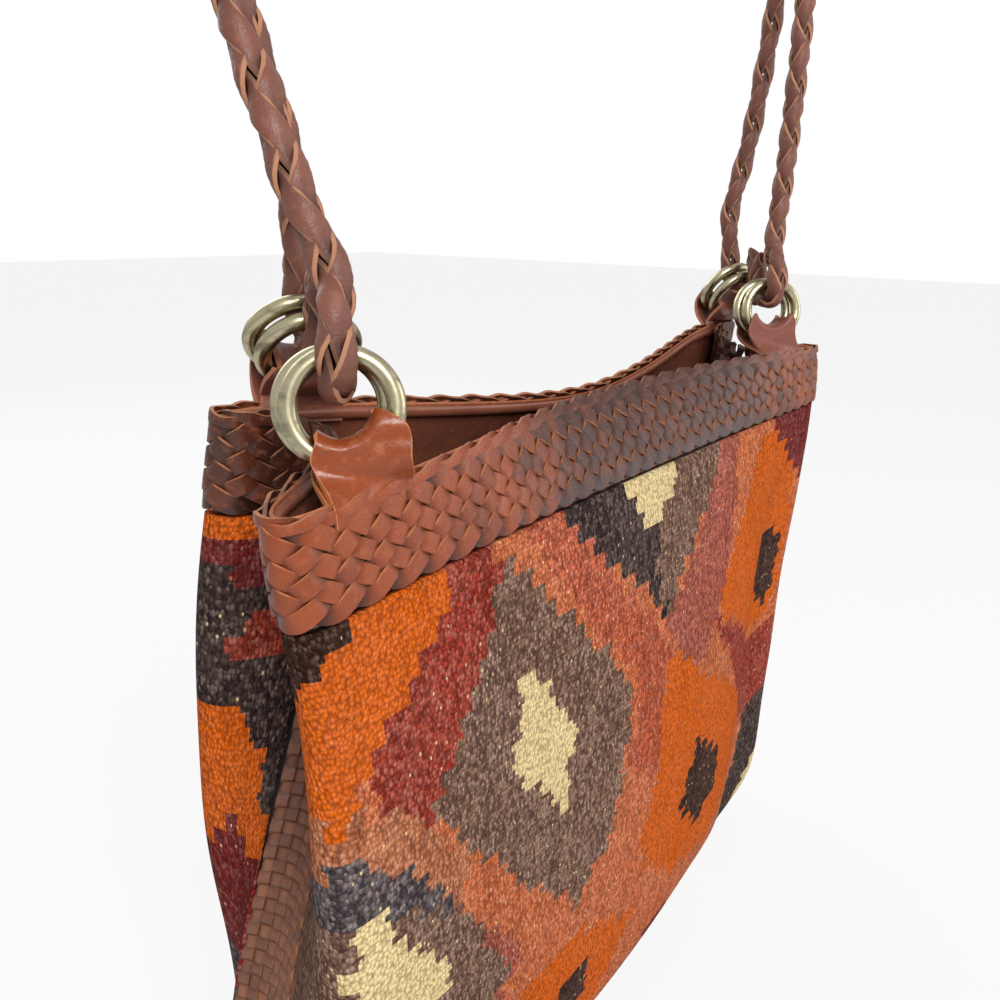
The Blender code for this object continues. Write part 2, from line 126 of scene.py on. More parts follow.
# Each pair's place: inset from the bag's end, depth, rise of its middle over the band's top, and the
# heading and lean of its face in degrees. Loops hold points ahead of the rings' tops and above them,
# with the turn round the wires as angles.
RING_PAIRS = {
    "front_left": dict(end=-1, inset=14, depth=-22.7, rise=16.4, heading=43, lean=-12),
    "front_right": dict(end=1, inset=47, depth=-20.5, rise=19.4, heading=43, lean=-10),
    "back_left": dict(end=-1, inset=36, depth=13, rise=23.6, heading=25.5, lean=42),
    "back_right": dict(end=1, inset=22, depth=8.5, rise=23.2, heading=20, lean=36),
}
FRONT_LOOP = dict(lead=[(5.2, 16), (8.7, 8.5)], turn=(15, -15, -45, -75, -105, -135, -165, -195),
                  tip=[(-8.7, 9), (-5.8, 15)])
BACK_LOOP = dict(lead=[(-27, 17), (-18, 6.5)], turn=(-165, -135, -105, -75, -45, -15, 15, 45),
                 tip=[(2.2, 8.2), (-4.5, 11)])
FRONT_ROUTE = [(-154, -10, 92), (-153.5, 0, 112), (-152, 11, 136), (-147, 20, 190), (-138, 22, 255),
               (-122, 20, 325), (-97, 17, 390), (-64, 14.5, 446), (-34, 13.2, 484), (-10, 13, 506.5),
               (18, 13, 511), (46, 12, 499.5), (74, 9, 473), (101, 3, 430), (120, -4, 376),
               (131, -10, 313), (135, -14, 244), (134, -16, 180), (130, -17, 118)]
BACK_ROUTE = [(-134.5, 21, 116), (-138.5, 30, 150), (-139.5, 36, 199), (-133, 37, 258), (-118, 34, 327),
              (-94, 29, 392), (-62, 25, 448), (-33, 23.3, 485), (-10, 23, 506.5), (18, 23, 511),
              (47, 22, 500.5), (77, 19, 475), (105, 15, 433), (126, 10, 379.5), (139, 6, 316),
              (146, 3, 248.5), (149, 3, 190), (150, 9, 130)]


class Tone:
    """A socket of a finish's node tree. Sums on tones add Math nodes, and node() adds any other."""

    def __init__(self, tree, socket=None):
        self.tree = tree
        self.socket = socket

    def feed(self, target, value):
        if isinstance(value, Tone):
            self.tree.links.new(value.socket, target)
        else:
            target.default_value = value

    def node(self, kind, settings=None, inputs=None, output=0):
        made = self.tree.nodes.new("ShaderNode" + kind)
        for key, value in (settings or {}).items():
            setattr(made, key, value)
        for key, value in (inputs or {}).items():
            self.feed(made.inputs[key], value)
        return Tone(self.tree, made.outputs[output])

    def sum(self, operation, *values):
        return self.node("Math", {"operation": operation}, dict(enumerate(values)))

    def __add__(self, other):
        return self.sum("ADD", self, other)

    def __sub__(self, other):
        return self.sum("SUBTRACT", self, other)

    def __rsub__(self, other):
        return self.sum("SUBTRACT", other, self)

    def __mul__(self, other):
        return self.sum("MULTIPLY", self, other)

    __radd__ = __add__
    __rmul__ = __mul__

    def over(self, edge, soft):
        """0 below edge and 1 above it, over a soft step."""
        return self.node("MapRange", {"interpolation_type": "SMOOTHSTEP"},
                         {0: self, 1: edge - soft, 2: edge + soft, 3: 0.0, 4: 1.0})

    def mix(self, first, second):
        """The first colour where this tone is 0 and the second where it is 1."""
        return self.node("Mix", {"data_type": "RGBA"}, {0: self, 6: first, 7: second}, output=2)

    def noise(self, place, scale, detail=3.0):
        return self.node("TexNoise", None, {"Vector": place, "Scale": scale, "Detail": detail})

    def attribute(self, name, output="Fac"):
        return self.node("Attribute", {"attribute_name": name}, None, output)

    def place(self):
        return self.node("TexCoord", None, None, "Object")


def dye(red, green, blue):
    """A colour from its values out of 255 as it is seen on a screen."""
    seen = [part / 255 for part in (red, green, blue)]
    return tuple(part / 12.92 if part < 0.04045 else ((part + 0.055) / 1.055) ** 2.4 for part in seen) + (1,)


def finish_of(name):
    """A new material: its start tone, its shader's inputs and itself."""
    material = bpy.data.materials.new(name)
    material.use_nodes = True
    shader = material.node_tree.nodes["Principled BSDF"]
    return Tone(material.node_tree), shader.inputs, material


def bump(tone, shader, strength, distance, height):
    """Raise a finish's surface by height."""
    raised = tone.node("Bump", None, {"Strength": strength, "Distance": distance, "Height": height})
    tone.feed(shader["Normal"], raised)


def leather(name, tan, dark, raw, roughness, grain=0.25):
    """Worn leather. The edge attribute is 1 at a cut edge. Where the painted-shade attribute is 1 the colour
    is
    painted near black as shade: in the gaps where a strand passes under another, and inside the mouth's left
    corner. shade runs from the dark to the tan."""
    tone, shader, material = finish_of(name)
    place = tone.place()
    cloudy = tone.noise(place, 70, 4)
    shade = tone.attribute("shade")
    scuffs = tone.noise(place, 420, 5)
    pores = tone.noise(place, 1500, 2)
    edge = tone.attribute("edge")
    painted_shade = tone.attribute("painted_shade")
    colour = (shade + 0.7 * (cloudy - 0.5)).over(0.5, 0.5).mix(dark, tan)
    worn = tuple(0.55 * a + 0.45 * b for a, b in zip(tan, raw))
    colour = (scuffs.over(0.62, 0.1) * 0.3).mix(colour, worn)
    colour = ((edge + 0.30 * (scuffs - 0.5)).over(0.88, 0.1) * 0.7).mix(colour, raw)
    # Painted shade: the colour goes nearly black where the painted-shade attribute is 1.
    colour = (painted_shade * 0.95).mix(colour, tuple(0.16 * part for part in dark[:3]) + (1,))
    tone.feed(shader["Base Color"], colour)
    tone.feed(shader["Roughness"],
              roughness - 0.12 * cloudy + 0.3 * scuffs.over(0.6, 0.15) + 0.3 * edge.over(0.8, 0.2))
    bump(tone, shader, grain, 0.0008, scuffs * 0.6 + pores * 0.4)
    shader["Specular IOR Level"].default_value = 0.4
    return material


def run_of(points):
    """How far along a line each of its points is."""
    return np.concatenate([[0], np.cumsum(np.linalg.norm(np.diff(points, axis=0), axis=1))])


def smooth(rows, steps):
    """Rows on a smooth curve through the given ones. steps gives how many a span takes."""
    rows = np.array([list(row) for row in rows], float)
    ends = np.concatenate([2 * rows[:1] - rows[1:2], rows, 2 * rows[-1:] - rows[-2:-1]])
    found = []
    for a, b, c, d in zip(ends, ends[1:], ends[2:], ends[3:]):
        count = steps(b, c)
        for t in np.arange(count) / count:
            found.append(0.5 * (2 * b + (c - a) * t + (2 * a - 5 * b + 4 * c - d) * t ** 2
                                + (3 * b - a - 3 * c + d) * t ** 3))
    return np.array(found + [rows[-1]])


def spaced(points, step):
    """The same line with its points an even step apart."""
    run = run_of(points)
    places = np.linspace(0, run[-1], max(int(run[-1] / step), 2))
    return np.stack([np.interp(places, run, points[:, k]) for k in range(3)], axis=1)


def unit(rows):
    return rows / np.maximum(np.linalg.norm(rows, axis=-1, keepdims=True), 1e-12)


def ring_frame(pair):
    """The pair's own directions: across its face, its normal out of the front and up its face."""
    heading, lean = math.radians(pair["heading"]), math.radians(pair["lean"])
    front = Vector((-math.sin(heading), -math.cos(heading), 0))
    across = Vector((math.cos(heading), -math.sin(heading), 0))
    up = front * math.sin(lean) + Vector((0, 0, math.cos(lean)))
    return across, across.cross(up), up


def ring_centres(pair):
    across, out, up = ring_frame(pair)
    inset, depth, rise = (pair[key] * MM for key in ("inset", "depth", "rise"))
    first = Vector((pair["end"] * (END - inset), depth, BAND + rise))
    return first, first - out * RING_STEP - across * RING_SIDE_SLIP + up * RING_LIFT


def loop_points(pair, loop):
    """The strap's end round the tops of a pair of rings, from the strap to the tip."""
    across, out, up = ring_frame(pair)
    first, second = ring_centres(pair)
    tops = (first + second) / 2 + up * RING_RADIUS
    bend = ((RING_WIRE + CORD) / 2 + GAP) / math.cos(math.radians(TURN_STEP / 2))
    turn = []
    for angle in loop["turn"]:
        wire = RING_STEP / 2 if math.cos(math.radians(angle)) > 0 else -RING_STEP / 2
        turn.append((wire + bend * math.cos(math.radians(angle)), bend * math.sin(math.radians(angle))))
    lead, tip = ([(ahead * MM, above * MM) for ahead, above in loop[end]] for end in ("lead", "tip"))
    return [tops + out * ahead + up * above for ahead, above in lead + turn + tip]


def strap_line(side, loop, route):
    left = loop_points(RING_PAIRS[side + "_left"], loop)
    right = loop_points(RING_PAIRS[side + "_right"], loop)
    points = left[::-1] + [Vector(point) * MM for point in route] + right
    line = smooth(points, lambda a, b: math.ceil(np.linalg.norm(b - a) / (0.25 * CORD)))
    return spaced(line, BRAID_SPACING) - np.array(ORIGIN)


def strand_profile(wide, thick, crown):
    """The outline of a flat strand: how far each point lies aside and up, and how near the cut edge."""
    aside = np.array([-1, -1, -0.93, -0.55, 0, 0.55, 0.93, 1, 1, 0.9, 0, -0.9, -1])
    up = np.array([-0.6, 0.5, 1, 1, 1, 1, 1, 0.5, -0.6, -1, -1, -1, -0.6])
    edge = np.abs(aside) ** 3
    bow = crown * (0.5 - aside ** 2)
    return aside * wide / 2, up * thick / 2 + bow, edge


def added(name, data):
    """A new object in the scene."""
    made = bpy.data.objects.new(name, data)
    bpy.context.scene.collection.objects.link(made)
    return made


class Weaving:
    """A mesh of many closed strands, each a grid of points with its edge, painted-shade and shade values."""

    def __init__(self):
        self.bm = bmesh.new()
        self.points = []
        self.layers = {"edge": [], "painted_shade": [], "shade": []}

    def add(self, grid, edge, painted_shade, shade=0.6, close_ends=True):
        """grid holds rows of profile points whose first and last are the same."""
        grid = grid.copy()
        if close_ends:
            for end in (0, -1):
                grid[end] = grid[end, :-1].mean(axis=0)
        rows, columns = grid.shape[:2]
        bmesh.ops.create_grid(self.bm, x_segments=columns - 1, y_segments=rows - 1, size=1)
        self.points.append(grid.reshape(-1, 3))
        for key, values in (("edge", edge), ("painted_shade", painted_shade), ("shade", shade)):
            self.layers[key].append(np.broadcast_to(values, (rows, columns)).ravel())

    def finished(self, name, material):
        mesh = bpy.data.meshes.new(name)
        self.bm.to_mesh(mesh)
        self.bm.free()
        mesh.vertices.foreach_set("co", np.concatenate(self.points).astype(np.float32).ravel())
        for key, values in self.layers.items():
            layer = mesh.attributes.new(key, "FLOAT", "POINT")
            layer.data.foreach_set("value", np.concatenate(values).astype(np.float32))
        closing = bmesh.new()
        closing.from_mesh(mesh)
        bmesh.ops.remove_doubles(closing, verts=closing.verts, dist=0.004 * MM)
        bmesh.ops.recalc_face_normals(closing, faces=closing.faces)
        for face in closing.faces:
            face.smooth = True
        closing.to_mesh(mesh)
        closing.free()
        mesh.set_sharp_from_angle(angle=math.radians(38))
        mesh.materials.append(material)
        return added(name, mesh)


def braid(name, line, material):
    """Four flat strands, two turning each way, each passing over one and under the next."""
    ahead = unit(np.gradient(line, axis=0))
    side = np.zeros_like(line)
    side[0] = unit(np.cross(ahead[0], (0.3, 0.9, 0.1)))
    for row in range(1, len(line)):
        side[row] = unit(side[row - 1] - ahead[row] * np.dot(side[row - 1], ahead[row]))
    third = np.cross(ahead, side)
    run = run_of(line)
    aside, up, edge = strand_profile(STRAND_WIDE, STRAND_THICK, BRAID_CROWN)
    ends = np.clip(np.minimum(run, run[-1] - run) / BRAID_TAPER, 0.03, 1) ** 0.5
    weaving = Weaving()
    for turn, start in ((1, 0.0), (1, math.pi), (-1, 0.0), (-1, math.pi)):
        angle = 2 * math.pi * run / BRAID_PITCH
        over = turn * np.cos(2 * angle)
        radius = (BRAID_RADIUS + BRAID_SWING * over) * ends
        spin = turn * angle + start
        radial = side * np.cos(spin)[:, None] + third * np.sin(spin)[:, None]
        middle = line + radial * radius[:, None]
        onward = unit(np.gradient(middle, axis=0))
        across = unit(np.cross(onward, radial))
        out = np.cross(across, onward)
        grid = middle[:, None] + across[:, None] * (aside * ends[:, None])[..., None]
        grid += out[:, None] * (up * ends[:, None])[..., None]
        # Painted shade: each strand is darkened where it passes under the next.
        painted_under_shade = np.clip(0.5 - 0.5 * over, 0, 1)[:, None] ** 2 * np.ones(len(aside))
        weaving.add(grid, edge ** 1.6 * 1.04, 0.8 * painted_under_shade)
    return weaving.finished(name, material)


strap_leather = leather("braided leather", dye(134, 82, 66), dye(80, 46, 40), dye(196, 140, 106), 0.48, 0.5)
front_line = strap_line("front", FRONT_LOOP, FRONT_ROUTE)
back_line = strap_line("back", BACK_LOOP, BACK_ROUTE)
for name, line, length in (("front_strap", front_line, FRONT_STRAP_LENGTH),
                           ("back_strap", back_line, BACK_STRAP_LENGTH)):
    strap = braid(name + "_braid", line, strap_leather)
    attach(strap, "root")
    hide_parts(name)

# Kilim panels
# The front and back are cut from one flat-woven wool rug. Its stepped diamonds are rows of coarse
# weft in natural dyes, beaten down over the warp, and the panels sag a little between the seams.
HEIGHT = 248 * MM
STRIP_WIDE = 24
STRIP_WIDTH = STRIP_WIDE * MM
STRIP_MIDDLE = 4 * MM
PANEL_WALL = 2.5 * MM
SAG = 0.55 * MM
SEAM_EASE = 0.45 * MM
STRIP_EASE = 0.1 * MM
CELL_ALONG = 5 / 3
CELL_DOWN = 6.5 / 3
STEP_ALONG = 3 * CELL_ALONG
STEP_DOWN = 3 * CELL_DOWN

# The walls' levels from the mouth down, each a share of HEIGHT below the band's foot. strip: how many
# millimetres its edges stand in from the left and right ends, and its chord. front and back: the left
# end's inset, how far out the wall stands at the left, middle and right, the right end's inset, and
# the corners' radii. The lifts, if any, raise the level at five stations from left to right.
LEVELS = [
    dict(down=-BAND / HEIGHT, strip=(26, 30, 14), front=(-12, -31, -9, -31, 0, 12, 15),
         back=(10, 24, 4, 19, 4, 11, 10), front_lifts=(-3, 1, -1, 1, -1), back_lifts=(11, 9, -6, 9, 8)),
    dict(down=-17 * MM / HEIGHT, strip=(30, 33, 15), front=(-12, -32, -20, -33, 0, 12, 15),
         back=(10, 28, 12, 22, 4, 12, 11), front_lifts=(-2, 1, -1, 1, 0), back_lifts=(11, 9, -4, 8, 6)),
    dict(down=0, strip=(34, 35, 16), front=(-11, -33, -31, -34, 0, 12, 15),
         back=(10, 34, 24, 27, 4, 14, 14), front_lifts=(-1, 2, 0, 0, 0), back_lifts=(12, 10, -2, 6, 5)),
    dict(down=0.15, strip=(31, 30, 18), front=(-6, -34, -38, -33, 1, 13, 20),
         back=(5, 40, 34, 29, 3, 15, 20), front_lifts=(0, 1, 0, 0, 0), back_lifts=(5, 4, 0, 3, 2)),
    dict(down=0.37, strip=(10, 12, 22), front=(-6, -38, -42, -31, 3, 13, 24),
         back=(4, 43, 41, 31, 5, 18, 24)),
    dict(down=0.60, strip=(-9, -6, 24), front=(-8, -40, -43, -29, 3, 16, 22),
         back=(8, 44, 44, 30, 5, 28, 22)),
    dict(down=0.83, strip=(-9, -8, 24), front=(-4, -38, -41, -29, 0, 22, 22),
         back=(8, 40, 41, 29, 2, 28, 22)),
    dict(down=0.965, strip=(4, 4, 24), front=(4, -28, -31, -25, 3, 24, 26),
         back=(8, 28, 31, 25, 4, 28, 26)),
]
BOTTOM_INSETS = np.array([9, 14, 19, 25, 33, 48]) * MM
BOTTOM_RISES = np.array([19, 13, 8, 4, 1, 0]) * MM


def yarn(red, green, blue, uneven):
    """A dye, with how unevenly its yarn is spun and dyed in the place of its alpha."""
    return dye(red, green, blue)[:3] + (uneven,)


RUST = yarn(234, 130, 80, 0.65)
BRICK = yarn(216, 106, 70, 0.75)
MADDER = yarn(182, 66, 46, 0.8)
WINE = yarn(136, 42, 42, 0.6)
ORANGE = yarn(236, 110, 24, 0.25)
TAUPE = yarn(150, 118, 96, 1)
CHARCOAL = yarn(66, 54, 52, 0.8)
BROWN = yarn(62, 34, 24, 0.5)
CREAM = yarn(252, 228, 168, 0.15)
SLATE = yarn(96, 92, 96, 1)
MAUVE = yarn(200, 106, 84, 0.75)
CLAY = yarn(214, 134, 90, 0.75)

# Figures of the weave, in the order that they cover each other. Each outline holds how far along
# from the bag's middle and how far below the band, in millimetres.
GROUND = (RUST, [(-250, -5), (250, -5), (250, 300), (-250, 300)])
FRONT_FIGURES = [
    GROUND,
    (MADDER, [(-130, -5), (-101, 6), (-110, 22), (-130, 50), (-150, 72), (-168, 60), (-162, 36), (-140, 12)]),
    (CLAY, [(-182, 54), (-160, 56), (-128, 92), (-140, 110), (-173, 67), (-200, 90)]),
    (BRICK, [(-72, -5), (-46, 28), (-22, 50), (0, 74), (-10, 125), (-34, 110), (-30, 70), (-56, 46),
             (-96, -5)]),
    (MAUVE, [(-5, 62), (32, 27), (52, -5), (70, -5), (60, 45), (46, 78), (28, 92), (2, 74)]),
    (ORANGE, [(-231, -5), (-129, -5), (-133, 12), (-142, 22), (-150, 29), (-159, 36), (-168, 43),
              (-176, 56), (-184, 54), (-231, 40)]),
    (BROWN, [(-231, -5), (-164, -5), (-165, 5), (-173, 8), (-179, 19), (-186, 22), (-231, 26)]),
    (TAUPE, [(-101, 6), (-85, 24), (-70, 37), (-54, 53), (-34, 72), (-38, 100), (-44, 124), (-66, 149),
             (-92, 126), (-121, 97), (-147, 68), (-135, 57), (-129, 49), (-122, 38), (-114, 26), (-108, 16)]),
    (CREAM, [(-96, 43), (-87, 54), (-70, 71), (-70, 84), (-79, 89), (-73, 98), (-79, 104), (-88, 90),
             (-101, 79), (-107, 70), (-102, 65), (-101, 54)]),
    (CHARCOAL, [(-80, -8), (10, -8), (4, 18), (-5, 61), (-25, 39), (-51, 22), (-69, 6)]),
    (TAUPE, [(4, -8), (56, -8), (50, 4), (31, 26), (13, 40), (-5, 61), (-14, 34)]),
    (CREAM, [(-31, -5), (13, -5), (11, 3), (0, 12), (-14, 23), (-21, 14), (-29, 6)]),
    (ORANGE, [(1, 75), (34, 99), (84, 128), (112, 146), (110, 176), (84, 200), (62, 207), (16, 192),
              (-10, 170), (-21, 154), (-10, 125), (-8, 90)]),
    (BROWN, [(33, 131), (66, 154), (62, 176), (41, 180), (20, 160), (27, 143)]),
    (ORANGE, [(96, 6), (128, 12), (146, 30), (154, 56), (158, 96), (150, 112), (120, 114), (48, 77),
              (56, 58), (75, 34), (90, 15)]),
    (BROWN, [(132, 55), (150, 70), (149, 92), (144, 106), (121, 86), (122, 62)]),
    (WINE, [(108, -5), (170, -5), (170, 44), (150, 32), (128, 16), (109, 7)]),
    (MADDER, [(45, 79), (84, 97), (124, 118), (158, 118), (170, 170), (130, 166), (84, 127)]),
    (CHARCOAL, [(135, 166), (250, 150), (250, 290), (150, 262), (100, 226), (126, 200)]),
    (CREAM, [(162, 206), (170, 222), (156, 236), (143, 232), (150, 218)]),
    (ORANGE, [(-21, 186), (-34, 206), (-60, 226), (-96, 240), (-120, 214), (-128, 190), (-102, 164),
              (-86, 162), (-61, 164)]),
    (BROWN, [(-52, 187), (-54, 199), (-74, 212), (-88, 202), (-76, 184), (-66, 179)]),
    (MAUVE, [(-134, 110), (-102, 142), (-117, 156), (-150, 170), (-176, 150)]),
    (TAUPE, [(-173, 66), (-134, 108), (-112, 146), (-140, 178), (-176, 206), (-231, 190), (-231, 90)]),
    (SLATE, [(-173, 66), (-150, 88), (-134, 108), (-160, 90), (-173, 82), (-231, 96), (-231, 84)]),
    (CREAM, [(-167, 87), (-162, 96), (-149, 113), (-144, 125), (-153, 130), (-160, 146), (-174, 130),
             (-174, 108), (-180, 96), (-174, 92), (-173, 86)]),
    (ORANGE, [(-231, 214), (-190, 218), (-150, 250), (-160, 300), (-231, 300)]),
    (WINE, [(-40, 232), (10, 214), (60, 226), (90, 262), (40, 300), (-30, 300)]),
]


def lozenge(colour, along, down, half_along, half_down, core, core_share=0.34):
    """A stepped diamond and the smaller one at its heart."""
    found = []
    for shade, share in ((colour, 1), (core, core_share)):
        a, d = half_along * share, half_down * share
        found.append((shade, [(along, down - d), (along + a, down), (along, down + d), (along - a, down)]))
    return found


BACK_FIGURES = [
    GROUND,
    *lozenge(TAUPE, 0, 78, 62, 72, CREAM), *lozenge(TAUPE, 150, 226, 62, 72, CREAM),
    *lozenge(CHARCOAL, -76, 2, 58, 62, CREAM), *lozenge(CHARCOAL, 76, 154, 60, 68, CREAM),
    *lozenge(ORANGE, 84, 8, 52, 62, BROWN), *lozenge(ORANGE, -76, 152, 50, 66, BROWN),
    *lozenge(ORANGE, 8, 232, 50, 62, BROWN), *lozenge(WINE, 160, 84, 40, 52, CHARCOAL),
    *lozenge(TAUPE, -100, 262, 52, 50, CREAM),
    (WINE, [(-250, -5), (-150, -5), (-140, 20), (-160, 40), (-250, 40)]),
    (ORANGE, [(-170, -5), (-148, -5), (-150, 2), (-166, 5), (-178, 9), (-182, 6), (-176, 2)]),
    (CHARCOAL, [(-250, 24), (-178, 22), (-168, 16), (-150, 16), (-136, 44), (-148, 62), (-166, 52),
                (-174, 54), (-182, 62), (-184, 84), (-250, 84)]),
    (MADDER, [(-170, 38), (-176, 28), (-188, 26), (-188, 36), (-178, 42)]),
    (ORANGE, [(-183, 64), (-174, 54), (-166, 48), (-150, 58), (-140, 92), (-156, 112), (-170, 92),
              (-176, 84), (-182, 100), (-250, 104), (-250, 86), (-184, 82)]),
    (WINE, [(-250, 104), (-181, 98), (-176, 86), (-168, 88), (-156, 104), (-146, 118), (-164, 136),
            (-250, 134)]),
    (SLATE, [(-250, 136), (-164, 134), (-140, 150), (-150, 176), (-250, 190)]),
]


def basis_weights(count, t):
    """How much each of count control points adds at t, on a clamped cubic B-spline."""
    t = np.clip(np.atleast_1d(np.asarray(t, float)), 0, 1 - 1e-9)[:, None]
    knots = np.concatenate([np.zeros(3), np.linspace(0, 1, count - 2), np.ones(3)])
    basis = ((knots[:-1] <= t) & (t < knots[1:])).astype(float)
    for degree in (1, 2, 3):
        n = len(knots) - 1 - degree
        rise = knots[degree:degree + n] - knots[:n]
        fall = knots[degree + 1:degree + 1 + n] - knots[1:1 + n]
        up = np.where(rise > 0, (t - knots[:n]) / np.where(rise > 0, rise, 1), 0)
        down = np.where(fall > 0, (knots[degree + 1:degree + 1 + n] - t) / np.where(fall > 0, fall, 1), 0)
        basis = up * basis[:, :n] + down * basis[:, 1:n + 1]
    return basis


def level_row(level, side):
    """The control points of one level of a wall, from the strip's left edge to its right edge."""
    out = -1 if side == "front" else 1
    left, y_left, y_middle, y_right, right, r_left, r_right = np.array(level[side]) * MM
    in_left, in_right, chord = np.array(level["strip"]) * MM
    edge = STRIP_MIDDLE + out * chord / 2
    x_left, x_right = -END + left, END - right
    strip_left, strip_right = -END + in_left, END - in_right
    least = out * edge + 2.5 * MM
    flat_left = out * max(out * y_left - r_left, least)
    flat_right = out * max(out * y_right - r_right, least)
    points = [
        (strip_left, edge),
        ((strip_left + x_left) / 2, (edge + flat_left) / 2),
        (x_left, flat_left),
        (x_left, y_left - 0.05 * out * r_left),
        (x_left + 0.95 * r_left, y_left),
        (x_left + 2.6 * r_left, y_left),
        (-0.31 * LENGTH, 0.75 * y_left + 0.25 * y_middle),
        (-0.18 * LENGTH, 0.2 * y_left + 0.8 * y_middle),
        (0, y_middle),
        (0.18 * LENGTH, 0.2 * y_right + 0.8 * y_middle),
        (0.31 * LENGTH, 0.75 * y_right + 0.25 * y_middle),
        (x_right - 2.6 * r_right, y_right),
        (x_right - 0.95 * r_right, y_right),
        (x_right, y_right - 0.05 * out * r_right),
        (x_right, flat_right),
        ((strip_right + x_right) / 2, (edge + flat_right) / 2),
        (strip_right, edge),
    ]
    stations = (-END, -END + 32 * MM, 0, END - 45 * MM, END)
    lifts = np.array(level.get(side + "_lifts", (0,) * 5)) * MM
    z = -level["down"] * HEIGHT
    return [(x, y, z + np.interp(x, stations, lifts)) for x, y in points]


def control_net(side):
    out = -1 if side == "front" else 1
    net = np.array([level_row(level, side) for level in LEVELS])
    last = net[-1].copy()
    last[:, 1] = STRIP_MIDDLE + out * STRIP_WIDTH / 2
    last[:6, 0] = -END + BOTTOM_INSETS
    last[-6:, 0] = (END - BOTTOM_INSETS)[::-1]
    last[:, 2] = -HEIGHT
    for row in (last, net[-1]):
        row[:6, 2] += BOTTOM_RISES
        row[-6:, 2] += BOTTOM_RISES[::-1]
    return np.concatenate([net, last[None]])


def wall(side, along, down):
    """Points of the bag's outer surface, one row for each value of down."""
    net = control_net(side)
    return np.einsum("vj,ui,jik->vuk", basis_weights(net.shape[0], down),
                     basis_weights(net.shape[1], along), net)


def foot_of_band():
    """The share of the way down the wall at which the band ends, at the middle of the bag."""
    down = np.linspace(0, 1, 400)
    return float(np.interp(0, -wall("front", [0.5], down)[:, 0, 2], down))


def normals(grid, outward):
    """Unit vertex normals of a grid of points. outward is a direction that most of them share."""
    faces = np.cross(grid[1:, 1:] - grid[:-1, :-1], grid[:-1, 1:] - grid[1:, :-1])
    total = np.zeros_like(grid)
    for rows in (slice(None, -1), slice(1, None)):
        for columns in (slice(None, -1), slice(1, None)):
            total[rows, columns] += faces
    total = unit(total)
    return total * np.sign(np.sum(total * outward))


def run_along(points):
    """How far along a row each point is, from its place nearest the bag's middle."""
    run = run_of(points)
    return run - run[np.argmin(np.abs(points[:, 0]))]


def inside(points, outline):
    """Which points lie inside a closed outline."""
    x, y = points[:, 0], points[:, 1]
    found = np.zeros(len(points), bool)
    for (x0, y0), (x1, y1) in zip(outline, outline[1:] + outline[:1]):
        if y0 != y1:
            crosses = (y0 > y) != (y1 > y)
            found ^= crosses & (x < x0 + (y - y0) * (x1 - x0) / (y1 - y0))
    return found


def woven_colours(places, figures, seed):
    """The dye at each place, with every figure's edge stepped as the weave makes it."""
    rng = np.random.default_rng(seed)
    teeth = rng.choice([-CELL_ALONG, 0, 0, 0, CELL_ALONG], 500)
    tooth = teeth[(np.floor(places[:, 1] / CELL_DOWN) + 60).astype(int)]
    column = np.floor((places[:, 0] + tooth) / STEP_ALONG)
    row = np.floor(places[:, 1] / STEP_DOWN)
    stepped = np.stack([(column + 0.5) * STEP_ALONG, (row + 0.5) * STEP_DOWN], axis=1)
    colours = np.tile(np.array(figures[0][0]), (len(places), 1))
    for colour, outline in figures[1:]:
        colours[inside(stepped, outline)] = colour
    return colours


def kilim_finish():
    """Coarse wool weft: rows of knobbly grains with painted shade in the pits between them, streaks where the
    dye changes, and cream flecks.
    """
    tone, shader, material = finish_of("kilim wool")
    weave = tone.node("UVMap", {"uv_map": "weave"})
    figure = tone.attribute("dye", "Color")
    uneven = tone.attribute("dye", "Alpha")

    def stretched(along, down):
        return tone.node("VectorMath", {"operation": "MULTIPLY"}, {0: weave, 1: (1 / along, 1 / down, 1)})

    def shifted(colour, factor, way="MULTIPLY"):
        return tone.node("Mix", {"data_type": "RGBA", "blend_type": way}, {0: 1.0, 6: colour, 7: factor}, 2)

    cells = {"Vector": stretched(1.15, 1.6), "Scale": 1.0, "Randomness": 0.8}
    grains = tone.node("TexVoronoi", None, cells)
    shade = tone.node("TexVoronoi", None, cells, "Color")
    speck, other, third = (tone.node("SeparateColor", None, {0: shade}, part) for part in range(3))
    streak = tone.noise(stretched(9, 70), 1.0, 2)
    patch = tone.noise(stretched(34, 48), 1.0, 2)
    fibre = tone.noise(stretched(0.45, 1.0), 1.0, 4)
    deeper = shifted(figure, (0.36, 0.28, 0.32, 1))
    paler = shifted(figure, (0.20, 0.14, 0.115, 1), "SCREEN")
    colour = (uneven * 0.5 * (1 - streak).over(0.52, 0.14)).mix(figure, deeper)
    colour = (uneven * patch.over(0.52, 0.12) * 0.35).mix(colour, paler)
    colour = (uneven * speck.over(0.62, 0.22) * 0.85).mix(colour, paler)
    colour = (uneven * other.over(0.6, 0.22) * 0.85).mix(colour, deeper)
    # Painted shade: the pits between the grains are darkened.
    colour = (grains.over(0.56, 0.26) * 0.6).mix(colour, shifted(colour, (0.30, 0.22, 0.22, 1)))
    fleck = (third + 0.08 * (patch - 0.5)).over(0.987, 0.004) * (1 - grains).over(0.62, 0.1)
    colour = (fleck * 0.75 * uneven.over(0.3, 0.1)).mix(colour, CREAM[:3] + (1,))
    tone.feed(shader["Base Color"], colour)
    shader["Roughness"].default_value = 0.92
    shader["Specular IOR Level"].default_value = 0.06
    bump(tone, shader, 1.0, 0.0017, (1 - grains) * 0.9 + fibre * 0.3)
    return material


